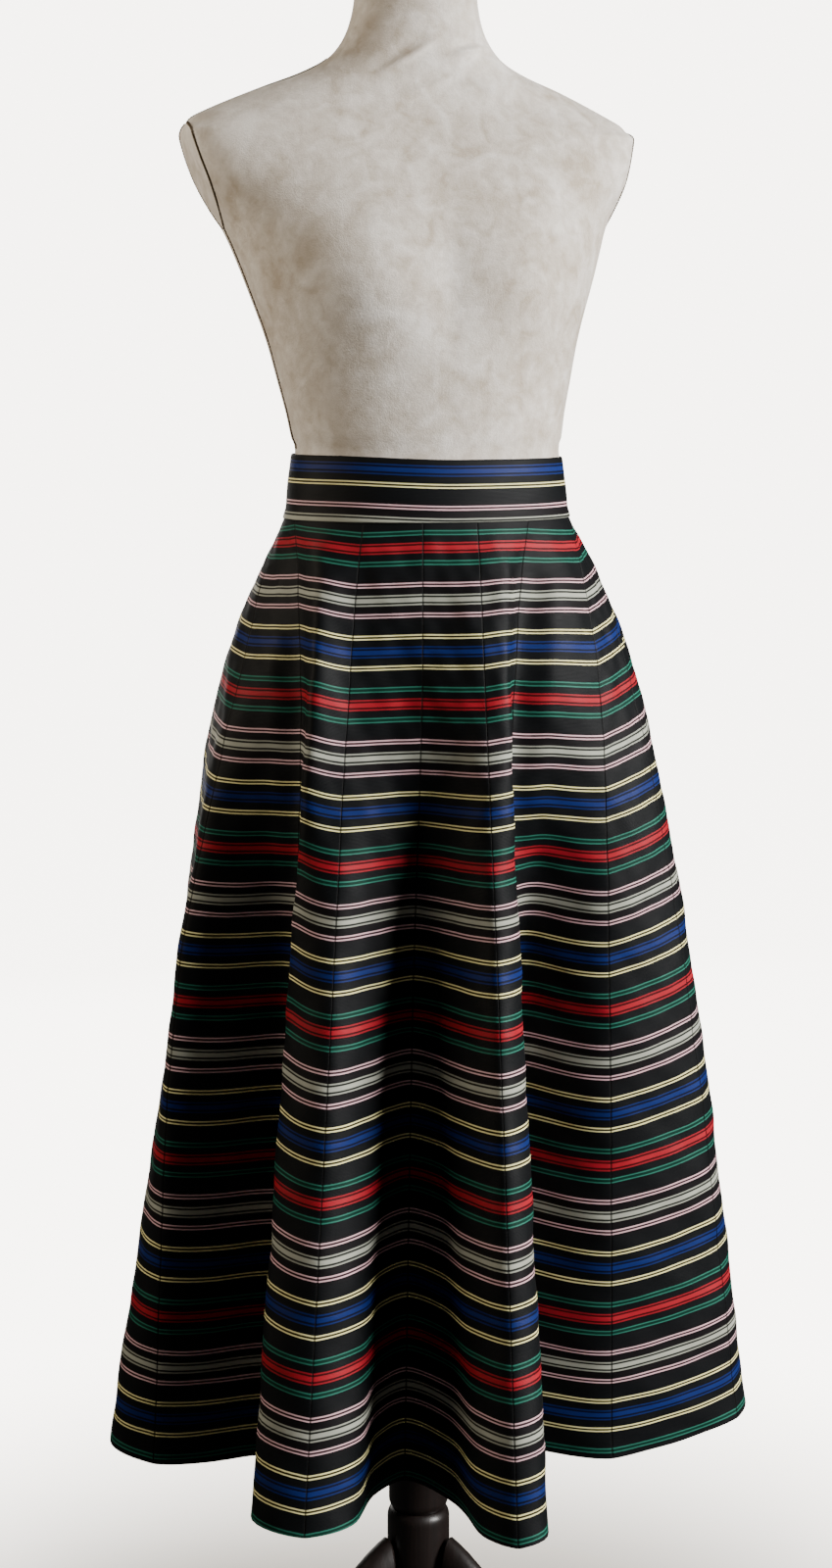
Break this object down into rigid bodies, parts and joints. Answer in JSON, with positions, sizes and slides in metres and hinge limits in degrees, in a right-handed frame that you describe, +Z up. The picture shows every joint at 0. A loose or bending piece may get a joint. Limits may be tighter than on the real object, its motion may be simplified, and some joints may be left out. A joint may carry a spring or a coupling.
{
  "type": "gored skirt on a dress form",
  "caption": "Long gored A-line skirt in woven horizontal stripes with a straight waistband, worn on a limbless dress form that stands on a turned wooden post with splayed legs.",
  "frame": {"origin": "on the floor, under the centre of the part's box", "axes": "+Z up, -Y towards the skirt's front, +X towards the skirt's left side as it is worn"},
  "size_m": [0.5724, 0.5144, 1.62],
  "materials": {
    "striped_cloth": "ribbed black satin weave with woven coloured stripes",
    "form_cover": "matt brushed greige cover",
    "dark_wood": "dark stained, satin varnish"
  },
  "bodies": {
    "root": {"gore_front": "striped_cloth", "gore_right_ridge": "striped_cloth", "gore_right_inner": "striped_cloth", "gore_right_panel": "striped_cloth", "gore_right_side": "striped_cloth", "gore_right_back": "striped_cloth", "gore_right_hollow": "striped_cloth", "gore_right_tail": "striped_cloth", "gore_back": "striped_cloth", "gore_left_tail": "striped_cloth", "gore_left_hollow": "striped_cloth", "gore_left_back": "striped_cloth", "gore_left_side": "striped_cloth", "gore_left_panel": "striped_cloth", "gore_left_inner": "striped_cloth", "gore_left_ridge": "striped_cloth", "back_placket": "striped_cloth", "waistband": "striped_cloth", "dress_form": "form_cover", "neck_cap": "form_cover", "post": "dark_wood", "hub": "dark_wood", "leg_1": "dark_wood", "leg_2": "dark_wood", "leg_3": "dark_wood"}
  },
  "joints": []
}
